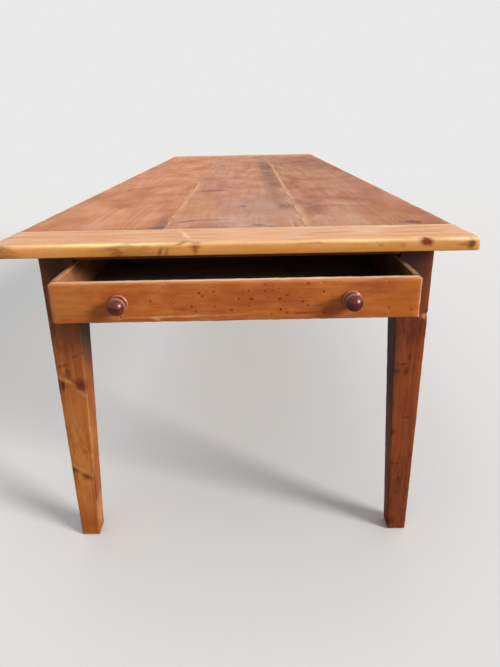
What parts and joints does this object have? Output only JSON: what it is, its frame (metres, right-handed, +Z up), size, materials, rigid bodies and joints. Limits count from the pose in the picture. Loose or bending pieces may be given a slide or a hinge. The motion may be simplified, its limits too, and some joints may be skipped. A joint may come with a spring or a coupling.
{
  "type": "farmhouse table",
  "caption": "Long waxed pine farmhouse table with a cleated plank top, square tapered legs, pegged aprons and an end drawer with turned knobs.",
  "frame": {"origin": "on the floor, under the middle of the whole table's length and width, the open drawer and its knobs included", "axes": "+Z up; +Y along the table away from the drawer end; +X to the right of someone facing the drawer"},
  "size_m": [0.93, 2.995, 0.765],
  "materials": {
    "top_pine": "old waxed pine, satin",
    "cleat_pine": "old waxed pine, satin",
    "frame_pine": "stained and waxed pine, satin",
    "drawer_pine": "stained and waxed pine, satin",
    "bare_pine": "unfinished aged pine, matt",
    "peg_wood": "riven hardwood pegs, waxed",
    "turned_hardwood": "dark red-brown stained and polished",
    "old_steel": "dull aged steel"
  },
  "bodies": {
    "table": {"top_plank_left": "top_pine", "top_plank_middle": "top_pine", "top_plank_right": "top_pine", "cleat_front": "cleat_pine", "cleat_rear": "cleat_pine", "leg_front_left": "frame_pine", "leg_front_right": "frame_pine", "leg_rear_left": "frame_pine", "leg_rear_right": "frame_pine", "side_apron_left": "frame_pine", "side_apron_right": "frame_pine", "rear_apron": "frame_pine", "drawer_rail_upper": "frame_pine", "drawer_rail_lower": "frame_pine", "cross_rail_1": "bare_pine", "cross_rail_2": "bare_pine", "drawer_runner_left": "bare_pine", "drawer_runner_right": "bare_pine", "drawer_guide_left": "bare_pine", "drawer_guide_right": "bare_pine", "drawer_kicker_left": "bare_pine", "drawer_kicker_right": "bare_pine", "drawer_stop_left": "bare_pine", "drawer_stop_right": "bare_pine", "button_left_1": "bare_pine", "button_left_2": "bare_pine", "button_left_3": "bare_pine", "button_right_1": "bare_pine", "button_right_2": "bare_pine", "button_right_3": "bare_pine", "button_screw_left_1": "old_steel", "button_screw_left_2": "old_steel", "button_screw_left_3": "old_steel", "button_screw_right_1": "old_steel", "button_screw_right_2": "old_steel", "button_screw_right_3": "old_steel", "peg_front_left_lower": "peg_wood", "peg_front_left_upper": "peg_wood", "peg_front_right_lower": "peg_wood", "peg_front_right_upper": "peg_wood", "peg_rear_left_lower": "peg_wood", "peg_rear_left_upper": "peg_wood", "peg_rear_right_lower": "peg_wood", "peg_rear_right_upper": "peg_wood", "peg_end_left_lower": "peg_wood", "peg_end_left_upper": "peg_wood", "peg_end_right_lower": "peg_wood", "peg_end_right_upper": "peg_wood"},
    "drawer": {"drawer_front": "drawer_pine", "drawer_side_left": "bare_pine", "drawer_side_right": "bare_pine", "drawer_back": "bare_pine", "drawer_bottom": "bare_pine", "drawer_nail_1": "old_steel", "drawer_nail_2": "old_steel", "drawer_nail_3": "old_steel", "knob_left": "turned_hardwood", "knob_right": "turned_hardwood"}
  },
  "joints": [
    {"name": "drawer_slide", "type": "slide", "parent": "table", "child": "drawer", "axis": [0, -1, 0], "range_m": [-0.17, 0.2]}
  ]
}
